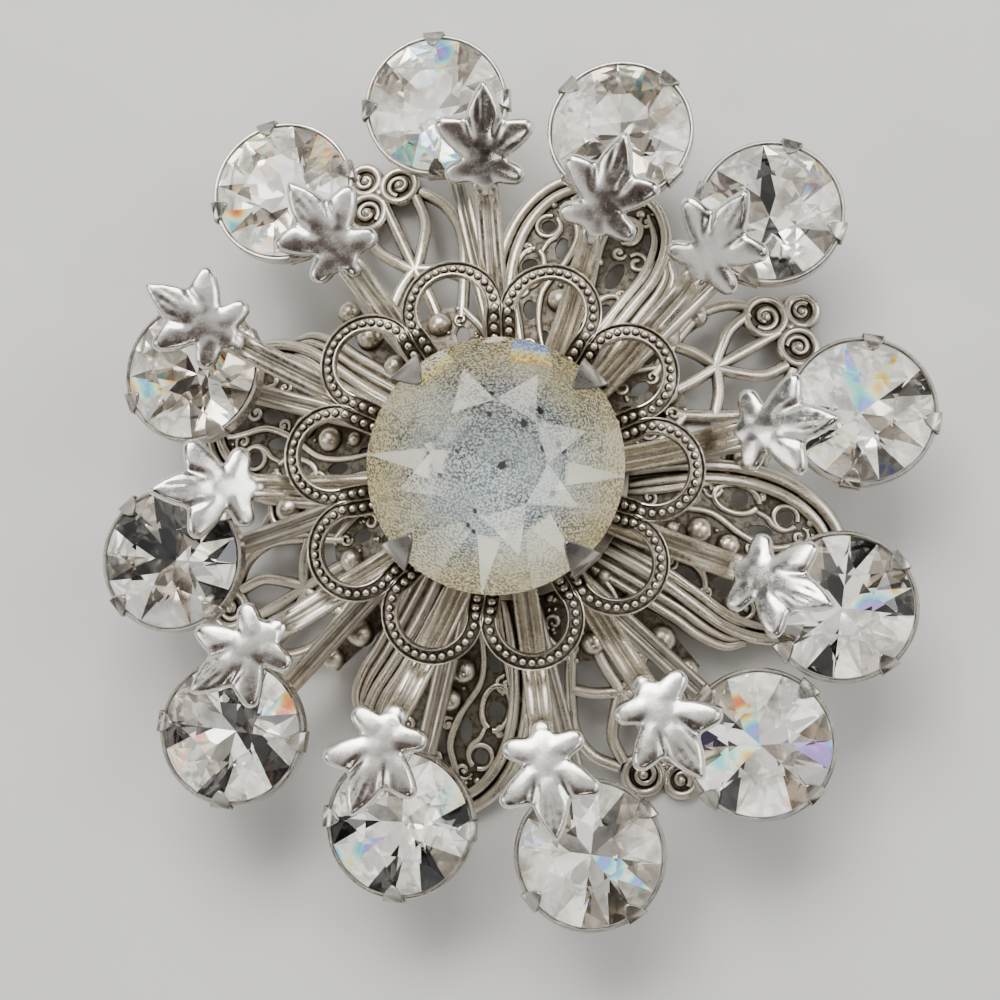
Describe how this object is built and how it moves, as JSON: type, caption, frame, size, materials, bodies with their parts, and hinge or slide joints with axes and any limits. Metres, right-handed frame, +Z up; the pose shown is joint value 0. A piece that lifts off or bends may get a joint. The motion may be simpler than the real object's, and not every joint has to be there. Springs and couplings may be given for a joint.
{
  "type": "flower brooch",
  "caption": "Layered flower brooch with claw-set clear stones on a star frame over a pierced filigree base, a spray of leaves, a scalloped collar and a large centre stone.",
  "frame": {"origin": "middle of the outline, on the surface that the brooch lies on with its back down", "axes": "+Z up, out of the brooch's face; +X to the right and +Y to the top as the face is seen"},
  "size_m": [0.0612, 0.0658, 0.0177],
  "materials": {
    "filigree_metal": "satin silver-tone plate, dark in the recesses",
    "frame_metal": "satin silver-tone plate",
    "leaf_metal": "polished silver-tone plate, brown in the grooves",
    "collar_metal": "beaded silver-tone plate, brown between the beads",
    "setting_metal": "smooth pewter-grey plate",
    "pin_metal": "plain plate",
    "centre_crystal": "clear faceted glass over a worn, speckled foil",
    "rim_crystal": "clear faceted glass with a bright foil back"
  },
  "bodies": {
    "root": {"filigree_base": "filigree_metal", "pin_back": "pin_metal", "cup_frame": "frame_metal", "leaf_spray": "leaf_metal", "scalloped_collar": "collar_metal", "centre_cup": "setting_metal", "centre_stone": "centre_crystal", "stone_cup_01": "setting_metal", "stone_cup_02": "setting_metal", "stone_cup_03": "setting_metal", "stone_cup_04": "setting_metal", "stone_cup_05": "setting_metal", "stone_cup_06": "setting_metal", "stone_cup_07": "setting_metal", "stone_cup_08": "setting_metal", "stone_cup_09": "setting_metal", "stone_cup_10": "setting_metal", "stone_cup_11": "setting_metal", "stone_cup_12": "setting_metal", "stone_01": "rim_crystal", "stone_02": "rim_crystal", "stone_03": "rim_crystal", "stone_04": "rim_crystal", "stone_05": "rim_crystal", "stone_06": "rim_crystal", "stone_07": "rim_crystal", "stone_08": "rim_crystal", "stone_09": "rim_crystal", "stone_10": "rim_crystal", "stone_11": "rim_crystal", "stone_12": "rim_crystal"}
  },
  "joints": []
}
